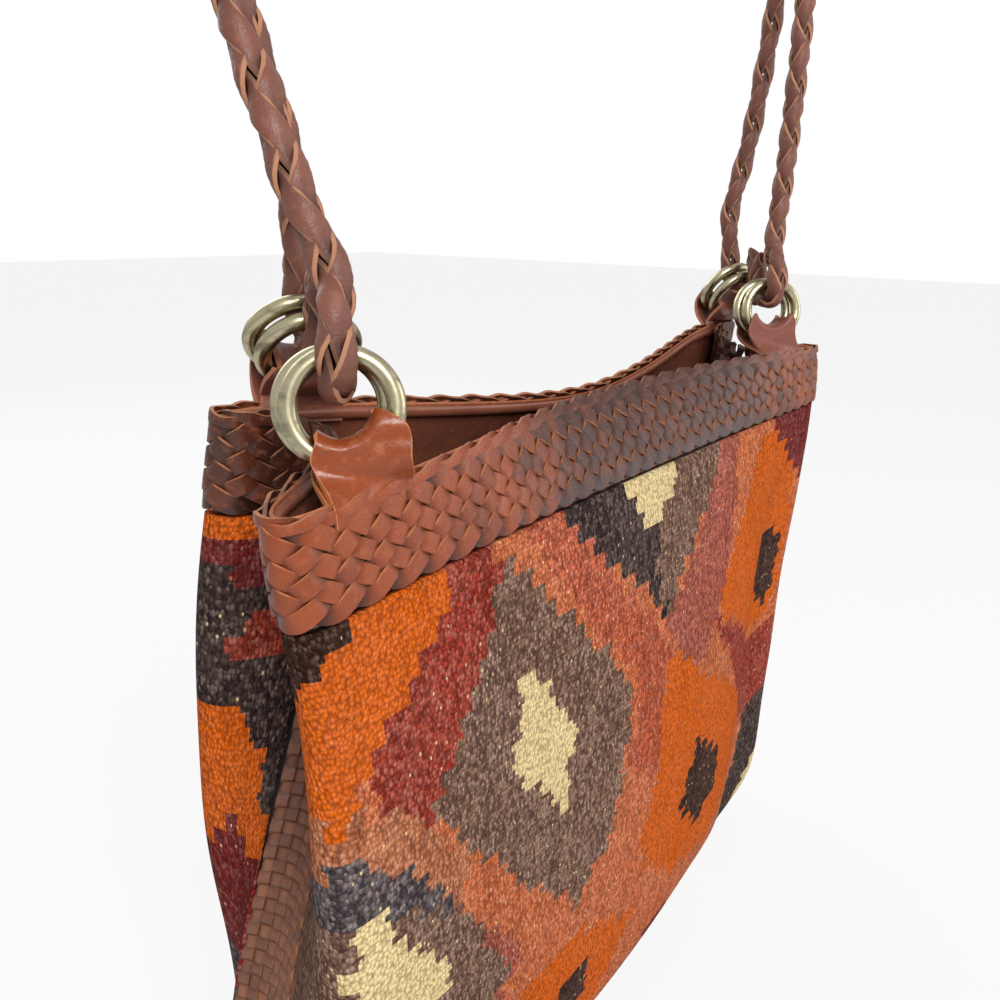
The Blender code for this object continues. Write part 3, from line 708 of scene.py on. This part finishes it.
def panel(side, figures, seed, material):
    """One wall of cloth below the band, laid out on the weave's own grid of cells."""
    out = (0, -1 if side == "front" else 1, 0)
    foot = foot_of_band()
    along = np.linspace(0, 1, 1500)
    run = run_along(wall(side, along, [foot])[0]) / MM
    columns = np.arange(math.ceil(run[0] / CELL_ALONG), math.floor(run[-1] / CELL_ALONG) + 1) * CELL_ALONG
    columns = np.concatenate([[run[0]], columns, [run[-1]]])
    down = np.linspace(foot, 1, 1200)
    middle = wall(side, [0.5], down)[:, 0]
    depth = run_of(middle) / MM
    rows = np.concatenate([np.arange(0, depth[-1] - 0.8, CELL_DOWN), [depth[-1]]])
    u, t = np.interp(columns, run, along), np.interp(rows, depth, down)
    grid = wall(side, u, t)
    normal = normals(grid, out)
    s, h = np.meshgrid(columns, rows)
    ease = np.minimum(np.clip(h / 18, 0, 1), np.clip((depth[-1] - h) / 30, 0, 1))
    ease *= np.clip((s - run[0]) / 30, 0, 1) * np.clip((run[-1] - s) / 30, 0, 1)
    sag = np.sin(s / 23 + h / 41 + seed) * np.sin(h / 29 - s / 67)
    sag = sag + 0.6 * np.sin(s / 11 - h / 17) * np.sin(h / 37 + seed)
    grid = grid + normal * (SAG * ease * sag)[..., None]
    grid[:, 0] += STRIP_EASE * unit(grid[:, 1] - grid[:, 0])
    grid[:, -1] += STRIP_EASE * unit(grid[:, -2] - grid[:, -1])
    grid[0] += SEAM_EASE * unit(grid[1] - grid[0])
    grid[-1] += SEAM_EASE * unit(grid[-2] - grid[-1])
    bm = bmesh.new()
    bmesh.ops.create_grid(bm, x_segments=grid.shape[1] - 1, y_segments=grid.shape[0] - 1, size=1)
    mesh = bpy.data.meshes.new(side + "_kilim")
    bm.to_mesh(mesh)
    bm.free()
    mesh.vertices.foreach_set("co", (grid - np.array(ORIGIN)).astype(np.float32).ravel())
    corners = np.empty(len(mesh.loops), np.int32)
    mesh.loops.foreach_get("vertex_index", corners)
    flat = np.stack([s.ravel(), h.ravel()], axis=1)[corners]
    mesh.uv_layers.new(name="weave").data.foreach_set("uv", flat.astype(np.float32).ravel())
    centres = flat.reshape(-1, 4, 2).mean(axis=1)
    colours = np.repeat(woven_colours(centres, figures, seed), 4, axis=0)
    layer = mesh.color_attributes.new("dye", "FLOAT_COLOR", "CORNER")
    layer.data.foreach_set("color", colours.astype(np.float32).ravel())
    turned = bmesh.new()
    turned.from_mesh(mesh)
    turned.normal_update()
    if sum((face.normal.dot(Vector(out)) for face in turned.faces), 0) < 0:
        bmesh.ops.reverse_faces(turned, faces=turned.faces)
    for face in turned.faces:
        face.smooth = True
    turned.to_mesh(mesh)
    turned.free()
    mesh.materials.append(material)
    cloth = added(side + "_kilim", mesh)
    thick = cloth.modifiers.new("cloth", "SOLIDIFY")
    thick.thickness = PANEL_WALL - 0.1 * MM
    thick.offset = -1
    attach(cloth, "root")
    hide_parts(side + "_panel")


wool = kilim_finish()
panel("front", FRONT_FIGURES, 3, wool)
panel("back", BACK_FIGURES, 8, wool)

# Mouth bands
# Seven flat leather strands are plaited into one band, 29 mm high, that is sewn round the mouth.
# Each strand turns back at the edges, and a two-ply lacing of the same leather binds the top.
STRANDS = 7
PLAIT_STEP = 11.33
PLAIT_OUT = 0.3
PLAIT_RISE = 0.6
PLAIT_WIDE = 5.4
PLAIT_THICK = 1.05
EDGE_ROOM = 5.6
STRAND_TURN = 2.7
LACING_STEP = 27.0
LACING_HIGH = 27.5
LACING_WIDE = 2.7
LACING_THICK = 1.1


def sampler(grid, normal, run, full):
    """A function that gives points on a grid, from how far along, how far of full and how far out."""

    def at(s, h, z):
        column = np.clip(np.interp(s, run, np.arange(len(run))), 0, len(run) - 1.001)
        row = np.asarray(h) / full * (len(grid) - 1)
        i, j = column.astype(int), np.clip(np.floor(row).astype(int), 0, len(grid) - 2)
        a, b = (column - i)[..., None], (row - j)[..., None]
        found = []
        for source in (grid, normal):
            low = source[j, i] * (1 - a) + source[j, i + 1] * a
            high = source[j + 1, i] * (1 - a) + source[j + 1, i + 1] * a
            found.append(low * (1 - b) + high * b)
        return found[0] + unit(found[1]) * (np.asarray(z) * MM)[..., None] - np.array(ORIGIN)

    return at


def laid_on(side):
    """The sampler of the band's wall, by height over its foot, and where the wall starts and ends."""
    grid = wall(side, np.linspace(0, 1, 1400), np.linspace(foot_of_band(), 0, 25))
    normal = normals(grid, (0, -1 if side == "front" else 1, 0))
    run = run_along(grid[12]) / MM
    return sampler(grid, normal, run, BAND_HIGH), run[0], run[-1]


def ribbon(at, s, h, z, wide, thick, crown):
    """A flat strand along the line s, h, z on a surface: its grid of points."""
    ahead = unit(np.stack([np.gradient(s), np.gradient(h)], axis=1))
    aside, up, edge = strand_profile(1, thick, crown)
    aside = aside[None] * np.asarray(wide).reshape(-1, 1)
    grid = at(s[:, None] - ahead[:, 1:] * aside, h[:, None] + ahead[:, :1] * aside, z[:, None] + up)
    return grid, edge


def front_shade(s):
    """How tan the leather is along the front: bright at the left end, dark at the middle and lighter again
    towards the right end. Where the band turns in past the left corner it is painted dark as shade.
    """
    return np.interp(s, [-192, -180, -150, -95, -55, 70, 140, 180], [0, 0.8, 0.9, 0.72, 0.14, 0.1, 0.62, 0.5])


def back_shade(s):
    """The back's leather is dark all along."""
    return 0.2 + 0 * s


def plait(side, shade, material, seed):
    """The band's seven strands, each passing over one and under the next, and turning at the edges."""
    at, first, last = laid_on(side)
    rng = np.random.default_rng(seed)
    half = STRANDS / 2 * PLAIT_STEP
    weaving = Weaving()
    for strand in range(STRANDS):
        s = np.arange(first + 0.5, last - 0.5, 0.7)
        phase = (s[:, None] + np.linspace(-STRAND_TURN, STRAND_TURN, 7) - strand * PLAIT_STEP) / half
        wave = np.abs((phase + 1) % 2 - 1).mean(axis=1)
        h = BAND_HIGH / 2 + (wave - 0.5) * (BAND_HIGH - EDGE_ROOM) * 1.04
        place = (s - strand * PLAIT_STEP) / half % 2
        rising = place < 1
        crossing = np.where(rising, place, 2 - place) * STRANDS
        over = np.interp(crossing, np.arange(STRANDS + 1), [0, 1, -1, 1, -1, 1, -1, 0])
        over = np.sin(np.clip(1.45 * over, -1, 1) * math.pi / 2) * np.where(rising, 1, -1)
        z = PLAIT_OUT + PLAIT_RISE * over
        wide = PLAIT_WIDE + rng.uniform(-0.35, 0.35, len(s) // 8 + 2)
        wide = np.interp(np.arange(len(s)) / 8, np.arange(len(wide)), wide)
        grid, edge = ribbon(at, s, h, z, wide, PLAIT_THICK, 0.05)
        cell = rng.uniform(-0.22, 0.22, 400)[np.round(crossing + 14 * np.floor(s / half)).astype(int) + 60]
        # The strand is painted dark as shade where it passes under another.
        weaving.add(grid, edge, (0.5 - 0.5 * over)[:, None] ** 1.3, (shade(s) + cell)[:, None])
    for ply in range(2):
        s = np.arange(first + 0.5, last - 0.5, 0.8)
        turn = 2 * math.pi * s / LACING_STEP + ply * math.pi
        h = LACING_HIGH + 0.7 * np.sin(turn)
        z = PLAIT_OUT + 1.0 * np.cos(turn)
        wide = LACING_WIDE + 0.4 * np.sin(turn * 3)
        grid, edge = ribbon(at, s, h, z, wide, LACING_THICK, 0.15)
        # Each ply is painted dark as shade where it turns under the other.
        weaving.add(grid, edge, (0.5 - 0.5 * np.cos(turn))[:, None] ** 3 * 0.6, shade(s)[:, None])
    piece = weaving.finished(side + "_plait", material)
    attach(piece, "root")
    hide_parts(side + "_band")


band_leather = leather("plaited leather", dye(146, 68, 34), dye(68, 37, 29), dye(196, 128, 88), 0.33, 0.5)
plait("front", front_shade, band_leather, 11)
plait("back", back_shade, band_leather, 12)

# Facings
# A smooth strip of leather lines each side of the mouth. Its top is rolled over into a narrow
# bead that shines, and its raw edge shows as a pale line above the lacing.
FACING_DEPTH = 1.5
FACING_WALL = 1.0
BEAD = 1.7
BEAD_HIGH = 26.4
# Painted shade inside the mouth's left corner: how far in millimetres it reaches from the left end, and how
# dark it is there.
PAINTED_SHADE_REACH = 45
PAINTED_SHADE_STRENGTH = 0.8

facing_leather = leather("facing leather", dye(150, 88, 66), dye(100, 56, 44), dye(204, 124, 80), 0.33, 0.15)
for side in ("front", "back"):
    at, first, last = laid_on(side)
    s = np.arange(first + 0.6, last - 0.6, 1.5)
    heights = np.linspace(0.6, BAND_HIGH - 0.6, 16)
    weaving = Weaving()
    outline_h = np.concatenate([heights, [BAND_HIGH], heights[::-1], [0.3]])
    outline_z = np.concatenate([0 * heights - FACING_DEPTH, [-FACING_DEPTH - 0.5],
                                0 * heights - FACING_DEPTH - FACING_WALL, [-FACING_DEPTH - 0.5]])
    outline_h, outline_z = np.append(outline_h, outline_h[0]), np.append(outline_z, outline_z[0])
    grid = at(s[:, None], outline_h, outline_z)
    # The facing and its bead are painted dark as shade at the left end, fading out along it.
    painted_corner_shade = np.clip(1 - (s - first) / PAINTED_SHADE_REACH, 0, 1)[:, None] * PAINTED_SHADE_STRENGTH
    weaving.add(grid, np.clip((outline_h - 27.4) / 1.2, 0, 1), painted_corner_shade)
    turn = np.linspace(0, 2 * math.pi, 13)
    bead_h = BEAD_HIGH + BEAD * np.sin(turn)
    bead_z = -FACING_DEPTH - 1.2 + BEAD * 0.8 * np.cos(turn)
    grid = at(s[:, None], bead_h, bead_z)
    weaving.add(grid, 0.0, painted_corner_shade)
    facing = weaving.finished(side + "_facing_leather", facing_leather)
    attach(facing, "root")
    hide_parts(side + "_facing")

# Gusset strip
# One long strip of plain-woven leather ribbons runs down the left end, under the bottom and up the
# right end. Both panels are sewn to its edges.
STRIP_CELL = 4.0
LANES = 6
RIBBON_THICK = 0.9


def rim_path(grid):
    """A wall's edge along the strip: down its left end, under the bottom and up its right end."""
    return np.concatenate([grid[:, 0], grid[-1, 1:-1], grid[::-1, -1]])


def laid_on_strip():
    """The sampler of the strip, by how far across from its front edge, and the strip's length."""
    along, down = np.linspace(0, 1, 260), np.linspace(0, 1, 180)
    front, back = (rim_path(wall(side, along, down)) for side in ("front", "back"))
    share = np.linspace(0, 1, 13)[:, None, None]
    grid = front * (1 - share) + back * share
    chord = np.linalg.norm(back - front, axis=1)
    fold = 0.45 * np.sqrt(np.maximum(STRIP_WIDTH ** 2 - chord ** 2, 0))
    inwards = -np.sign(front[:, 0])[:, None] * (1, 0, 0) * fold[:, None]
    grid = grid + np.sin(math.pi * share) * inwards
    normal = normals(grid, (0, 0, -1))
    run = run_of(grid[6]) / MM
    return sampler(grid, normal, run, STRIP_WIDE), run[-1]


strip_leather = leather("woven strip leather", dye(138, 88, 64), dye(92, 58, 44), dye(170, 116, 84), 0.5, 0.4)
at, strip_length = laid_on_strip()
weaving = Weaving()
rng = np.random.default_rng(5)


def weave_in(s, h, over, wide):
    """Add one ribbon, above the ones that it crosses where over is 1 and below them where it is -1."""
    z = 0.1 * over - 0.45 + 0.5 * np.sin(over * math.pi / 2)
    grid, edge = ribbon(at, s, h, z, wide, RIBBON_THICK, 0.1)
    # The ribbon is painted dark as shade where it passes under the ones that it crosses.
    weaving.add(grid, edge, (0.5 - 0.5 * over)[:, None] ** 1.3, rng.uniform(0.3, 0.8))


for lane in range(LANES):
    s = np.arange(1.0, strip_length - 1.0, 0.8)
    h = 0 * s + 0.6 + (lane + 0.5) * 22.8 / LANES
    weave_in(s, h, np.cos(math.pi * s / STRIP_CELL + lane * math.pi), 3.4)
for cross in range(int((strip_length - 4) / STRIP_CELL)):
    h = np.arange(0.7, 23.4, 0.9)
    s = 0 * h + (cross + 0.5) * STRIP_CELL + STRIP_CELL / 2
    over = -np.cos(math.pi * (cross + 1) + (h - 1.0) * LANES / 22 * math.pi - math.pi / 2)
    weave_in(s, h, over, 3.5)
strip = weaving.finished("woven_gusset", strip_leather)
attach(strip, "root")
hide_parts("gusset_strip")

# Lining
# A dark cotton sack hangs inside the panels and the strip and is caught under the facings.
lining = frame["nodes"]["lining"].copy()
lining.data = lining.data.copy()
lining.name = lining.data.name = "lining_cloth"
lining.parent = None
lining.data.materials.clear()
tone, shader, dark_cotton = finish_of("dark cotton")
threads = tone.noise(tone.place(), 1400, 2)
fades = tone.noise(tone.place(), 30)
faded = fades.over(0.5, 0.3) * 0.7 + threads * 0.3
tone.feed(shader["Base Color"], faded.mix(dye(30, 24, 26), dye(58, 46, 46)))
bump(tone, shader, 0.4, 0.0003, threads)
shader["Roughness"].default_value = 0.95
lining.data.materials.append(dark_cotton)
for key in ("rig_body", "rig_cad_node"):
    if key in lining:
        del lining[key]
bpy.context.scene.collection.objects.link(lining)
sack = bmesh.new()
sack.from_mesh(lining.data)
bmesh.ops.remove_doubles(sack, verts=sack.verts, dist=0.02 * MM)
for face in sack.faces:
    face.smooth = True
sack.to_mesh(lining.data)
sack.free()
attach(lining, "root")
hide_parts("lining")

# O-rings
# Eight cast rings, 20 mm inside, plated with antique nickel that has rubbed pale on the round of
# the wire and kept a dark film in streaks. Each turns in its tab.
WIRE_POINTS = 24
RING_POINTS = 96

tone, shader, nickel = finish_of("antique nickel")
place = tone.place()
streaks_at = tone.node("Mapping", None, {0: place, 3: (1, 1, 2.6)})
streaks = tone.noise(streaks_at, 110, 5)
film = tone.noise(place, 420, 4)
dull = streaks.over(0.6, 0.12) * (0.4 + 0.6 * film)
tone.feed(shader["Base Color"], dull.mix(dye(188, 180, 148), dye(104, 96, 76)))
tone.feed(shader["Roughness"], 0.2 + 0.16 * film + 0.2 * dull)
bump(tone, shader, 0.12, 0.0004, streaks)
shader["Metallic"].default_value = 1.0
for pair_name, pair in RING_PAIRS.items():
    across, out, up = ring_frame(pair)
    stand = Matrix((across, up, out)).transposed().to_4x4()
    for centre, which in zip(ring_centres(pair), ("outer", "inner")):
        bm = bmesh.new()
        made = bmesh.ops.create_circle(bm, segments=WIRE_POINTS, radius=RING_WIRE / 2)
        bmesh.ops.rotate(bm, verts=bm.verts, matrix=Matrix.Rotation(math.radians(90), 3, "X"))
        bmesh.ops.translate(bm, verts=bm.verts, vec=(RING_RADIUS, 0, 0))
        bmesh.ops.spin(bm, geom=bm.verts[:] + bm.edges[:], cent=(0, 0, 0), axis=(0, 0, 1),
                       angle=2 * math.pi, steps=RING_POINTS, use_merge=True)
        bmesh.ops.remove_doubles(bm, verts=bm.verts, dist=0.001 * MM)
        bmesh.ops.recalc_face_normals(bm, faces=bm.faces)
        bmesh.ops.transform(bm, verts=bm.verts, matrix=Matrix.Translation(centre - ORIGIN) @ stand)
        for face in bm.faces:
            face.smooth = True
        node = f"{pair_name}_{which}_ring"
        mesh = bpy.data.meshes.new(node + "_cast")
        bm.to_mesh(mesh)
        bm.free()
        mesh.materials.append(nickel)
        ring = added(node + "_cast", mesh)
        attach(ring, node + "_body")
        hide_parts(node)

# Tabs
# Each tab is a strip of thick smooth leather, folded over the foot of its two rings and sewn to the
# crest of the band. Its cut edges are raw, and the front left one has kept its bright tan.
TAB_WIDTH = 27 * MM
TAB_NECK = 22 * MM
TAB_FOLD = 15.5 * MM
TAB_WALL = 1.5 * MM
TAB_SLACK = 0.8 * MM
TAB_SEAT = 1.0 * MM
BAND_PROUD = 0.9 * MM
BAND_SUNK = 1.0 * MM
PLAIT_RELIEF = 0.5 * MM
TAB_PULL = 4.6 * MM


def crest_at(side, x):
    """The middle of the crest's thickness at each x, and the level direction out of the bag there."""
    crest = wall(side, np.linspace(0, 1, 400), [0])[0]
    crest = crest[crest[:, 0].argmin():crest[:, 0].argmax()]
    points = np.stack([np.interp(x, crest[:, 0], crest[:, k]) for k in range(3)], axis=-1)
    ahead = np.stack([np.interp(x + 4 * MM, crest[:, 0], crest[:, k]) for k in range(3)], axis=-1)
    run = unit((ahead - points) * (1, 1, 0))
    out = np.stack([run[..., 1], -run[..., 0], 0 * x], axis=-1) * (1 if side == "front" else -1)
    middle = (BAND_PROUD + PLAIT_RELIEF - BAND_SUNK - GAP - FACING_WALL * MM) / 2
    return points + out * middle, out


def tab(name, pair, material):
    """A leather strip folded over the foot of the two rings, both legs ending on the crest. Its fold
    follows the round of the rings, and the front left one is pulled to the right."""
    side = name.split("_")[0]
    across, ring_out, up = (np.array(axis) for axis in ring_frame(pair))
    first, second = ring_centres(pair)
    seat = np.array((first + second) / 2) - up * (RING_RADIUS + RING_WIRE / 2)
    if side == "back":
        ring_out = -ring_out
    half = RING_STEP / 2 + RING_WIRE / 2 + GAP + TAB_WALL / 2
    pinch = (TAB_WALL + GAP) / 2
    pulled = TAB_PULL if name == "front_left" else 0
    # How far out, down and up a row is, its width, how far it has turned from the crest to the rings,
    # and how much of the pull it takes.
    outer_leg = [(pinch, -7 * MM, 0, TAB_WIDTH - MM, 0, 0.5),
                 (pinch, -2 * MM, 0, TAB_WIDTH, 0, 0.5),
                 (0.6 * half, 0, 0, TAB_WIDTH - 2.5 * MM, 0.6, 0.75),
                 (1.03 * half, 0, 0.2, TAB_NECK + 0.8 * MM, 1, 1.05),
                 (1.1 * half, 0, 0.55, TAB_NECK + 0.2 * MM, 1, 1.1),
                 (1.15 * half, 0, 0.8, TAB_NECK - 2 * MM, 1, 1),
                 (0.8 * half, 0, 1.02, TAB_FOLD - 1.5 * MM, 1, 0.36),
                 (0.25 * half, 0, 1.06, TAB_FOLD - 2 * MM, 1, 0.3)]
    route = np.array(outer_leg + [(-away, *rest) for away, *rest in outer_leg[::-1]])
    shares = np.linspace(-0.5, 0.5, 25)
    grid = []
    for away, drop, lift, width, turned, pull in smooth(route, lambda a, b: 7):
        aside = width * shares + pull * pulled
        foot, crest_out = crest_at(side, seat[0] + aside)
        low = foot + crest_out * away + np.array([0, 0, drop + TAB_SEAT * (1 - turned)])
        reach = np.minimum(np.abs(aside) + RING_SIDE_SLIP / 2, 0.97 * RING_INSIDE / 2)
        hole = np.sqrt((RING_INSIDE / 2) ** 2 - reach ** 2)
        crown = RING_RADIUS + RING_WIRE / 2 - hole + TAB_WALL / 2 + TAB_SLACK
        high = seat + ring_out * away + up * (lift * crown)[:, None] + across * aside[:, None]
        grid.append(low + (high - low) * turned)
    grid = np.array(grid)
    normal = normals(grid, (0, 0, 1))
    if np.sum(normal * (grid - grid.mean(axis=(0, 1)))) < 0:
        normal = -normal
    cut = np.concatenate([shares, shares[::-1], shares[:1]]) * 2
    outer, inner = grid + normal * TAB_WALL / 2, grid - normal * TAB_WALL / 2
    outline = np.concatenate([outer, inner[:, ::-1], outer[:, :1]], axis=1)
    weaving = Weaving()
    weaving.add(outline - np.array(ORIGIN), np.abs(cut) ** 14, 0 * cut, close_ends=False)
    piece = weaving.finished(name + "_leather", material)
    piece.data.update()
    soft = piece.modifiers.new("soft_edge", "BEVEL")
    soft.width, soft.segments, soft.limit_method, soft.angle_limit = 0.35 * MM, 2, "ANGLE", math.radians(50)
    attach(piece, "root")
    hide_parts(name + "_tab")


tan_leather = leather("tan tab leather", dye(150, 72, 34), dye(124, 54, 26), dye(226, 150, 96), 0.3, 0.2)
brown_leather = leather("brown tab leather", dye(142, 84, 70), dye(104, 60, 50), dye(190, 124, 92),
                        0.45, 0.12)
for name, pair in RING_PAIRS.items():
    tab(name, pair, tan_leather if name == "front_left" else brown_leather)

# Stage
# A pale floor under the bag and three soft lamps: the key from the upper left, a fill from the
# right and one from behind.
LIT_POINT = Vector((0, 0, -0.6))

floor_bm = bmesh.new()
bmesh.ops.create_grid(floor_bm, x_segments=1, y_segments=1, size=6)
bmesh.ops.translate(floor_bm, verts=floor_bm.verts, vec=(0, 0, cad_box[0][2] - 3 * MM))
floor_mesh = bpy.data.meshes.new("floor")
floor_bm.to_mesh(floor_mesh)
floor_bm.free()
floor = added("floor", floor_mesh)
tone, shader, floor_paint = finish_of("floor paint")
shader["Base Color"].default_value = dye(236, 236, 236)
shader["Roughness"].default_value = 0.8
glow = tone.node("Emission", None, {"Color": (1, 1, 1, 1), "Strength": 1.0})
plain = Tone(floor_paint.node_tree, floor_paint.node_tree.nodes["Principled BSDF"].outputs[0])
seen = tone.node("LightPath", None, None, "Is Camera Ray")
lit = tone.node("MixShader", None, {0: seen * 0.85, 1: plain, 2: glow})
tone.feed(floor_paint.node_tree.nodes["Material Output"].inputs["Surface"], lit)
floor_mesh.materials.append(floor_paint)

world = bpy.data.worlds.new("studio")
bpy.context.scene.world = world
world.use_nodes = True
sky = Tone(world.node_tree)
rays = [sky.node("LightPath", None, None, name) for name in ("Is Camera Ray", "Is Glossy Ray")]
seen = rays[0].sum("MAXIMUM", rays[0], rays[1] * 0.55)
background = world.node_tree.nodes["Background"]
sky.feed(background.inputs["Color"], (1, 1, 1, 1))
sky.feed(background.inputs["Strength"], 0.36 + 0.64 * seen)

for name, place, size, power in (("key", (-0.75, -0.95, 0.35), 0.6, 17), ("fill", (0.9, -1.1, -0.2), 0.9, 5),
                                 ("back", (0.2, 1.2, 0.2), 0.9, 6)):
    lamp = added(name, bpy.data.lights.new(name, "AREA"))
    lamp.data.size, lamp.data.energy = size, power
    lamp.location = place
    lamp.rotation_euler = (LIT_POINT - Vector(place)).to_track_quat("-Z", "Y").to_euler()

bpy.context.scene.view_settings.view_transform = "Standard"
